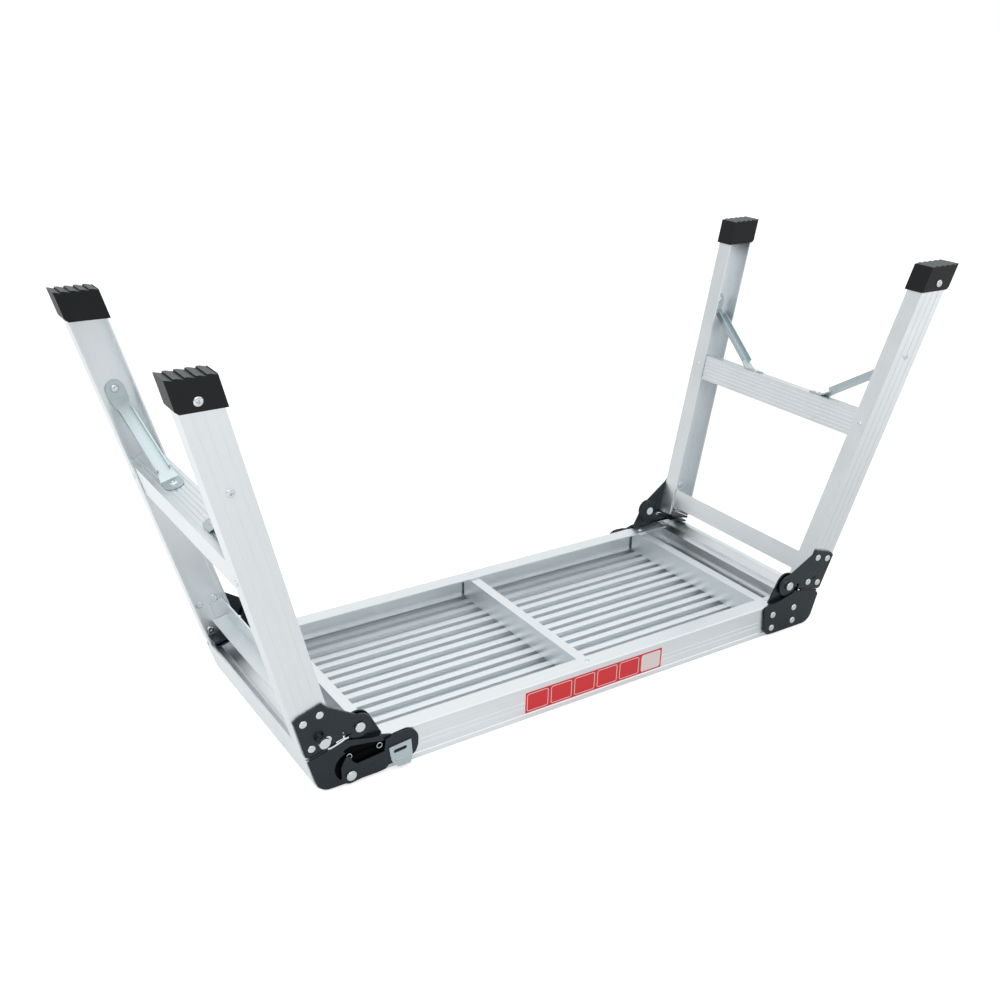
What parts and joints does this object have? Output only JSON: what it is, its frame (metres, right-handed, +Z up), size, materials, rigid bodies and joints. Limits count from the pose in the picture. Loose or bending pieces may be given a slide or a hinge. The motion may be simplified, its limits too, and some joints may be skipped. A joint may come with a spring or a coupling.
{
  "type": "folding work platform",
  "caption": "Folding aluminium work platform lying on its deck with both leg frames open: ribbed deck planks, splayed channel legs with a step, riveted black hinge plates and lever latches.",
  "frame": {"origin": "on the floor under the centre of the deck, which lies tread side down", "axes": "+X along the deck to the right, +Y across it away from the camera, +Z up towards the feet"},
  "size_m": [1.0412, 0.3894, 0.5025],
  "materials": {
    "aluminium_extrusion": "mill finish extrusion, drawn lengthwise",
    "black_steel": "glossy black powder coat on pressed steel",
    "zinc_steel": "bright zinc plate with a blue cast",
    "black_foot": "moulded black, slightly grained"
  },
  "bodies": {
    "deck": {"centre_brace": "aluminium_extrusion", "far_deck_plank": "aluminium_extrusion", "far_side_rail": "aluminium_extrusion", "left_brace": "aluminium_extrusion", "left_end_rail": "aluminium_extrusion", "left_far_base_plate": "black_steel", "left_far_pivot_pin": "zinc_steel", "left_near_base_plate": "black_steel", "left_near_latch_pin": "zinc_steel", "left_near_pivot_pin": "zinc_steel", "middle_deck_plank": "aluminium_extrusion", "near_deck_plank": "aluminium_extrusion", "near_side_rail": "aluminium_extrusion", "right_brace": "aluminium_extrusion", "right_end_rail": "aluminium_extrusion", "right_far_base_plate": "black_steel", "right_far_latch_pin": "zinc_steel", "right_far_pivot_pin": "zinc_steel", "right_near_base_plate": "black_steel", "right_near_pivot_pin": "zinc_steel"},
    "right_leg_frame": {"right_step": "aluminium_extrusion", "right_cross_rail": "aluminium_extrusion", "right_near_leg": "aluminium_extrusion", "right_near_foot": "black_foot", "right_near_leg_strut": "zinc_steel", "right_near_leg_plate": "black_steel", "right_far_leg": "aluminium_extrusion", "right_far_foot": "black_foot", "right_far_leg_strut": "zinc_steel", "right_far_leg_plate": "black_steel", "right_far_lock_pin": "zinc_steel"},
    "left_leg_frame": {"left_step": "aluminium_extrusion", "left_cross_rail": "aluminium_extrusion", "left_far_leg": "aluminium_extrusion", "left_far_foot": "black_foot", "left_far_leg_strut": "zinc_steel", "left_far_leg_plate": "black_steel", "left_near_leg": "aluminium_extrusion", "left_near_foot": "black_foot", "left_near_leg_strut": "zinc_steel", "left_near_leg_plate": "black_steel", "left_near_lock_pin": "zinc_steel"},
    "right_far_latch": {"right_far_latch_lever": "black_steel", "right_far_latch_clip": "zinc_steel"},
    "left_near_latch": {"left_near_latch_lever": "black_steel", "left_near_latch_clip": "zinc_steel"}
  },
  "joints": [
    {"name": "right_legs_fold", "type": "hinge", "parent": "deck", "child": "right_leg_frame", "pos_m": [0.328, 0, 0.0697], "axis": [0, -1, 0], "range_deg": [0, 111.3]},
    {"name": "left_legs_fold", "type": "hinge", "parent": "deck", "child": "left_leg_frame", "pos_m": [-0.328, 0, 0.0697], "axis": [0, 1, 0], "range_deg": [0, 99.5]},
    {"name": "right_far_latch_lift", "type": "hinge", "parent": "deck", "child": "right_far_latch", "pos_m": [0.341, 0.1575, 0.012], "axis": [0, 1, 0], "range_deg": [0, 20], "stiffness_Nm_per_rad": 0.4, "springref_deg": -20.05},
    {"name": "left_near_latch_lift", "type": "hinge", "parent": "deck", "child": "left_near_latch", "pos_m": [-0.341, -0.1575, 0.012], "axis": [0, -1, 0], "range_deg": [0, 20], "stiffness_Nm_per_rad": 0.4, "springref_deg": -20.05}
  ]
}
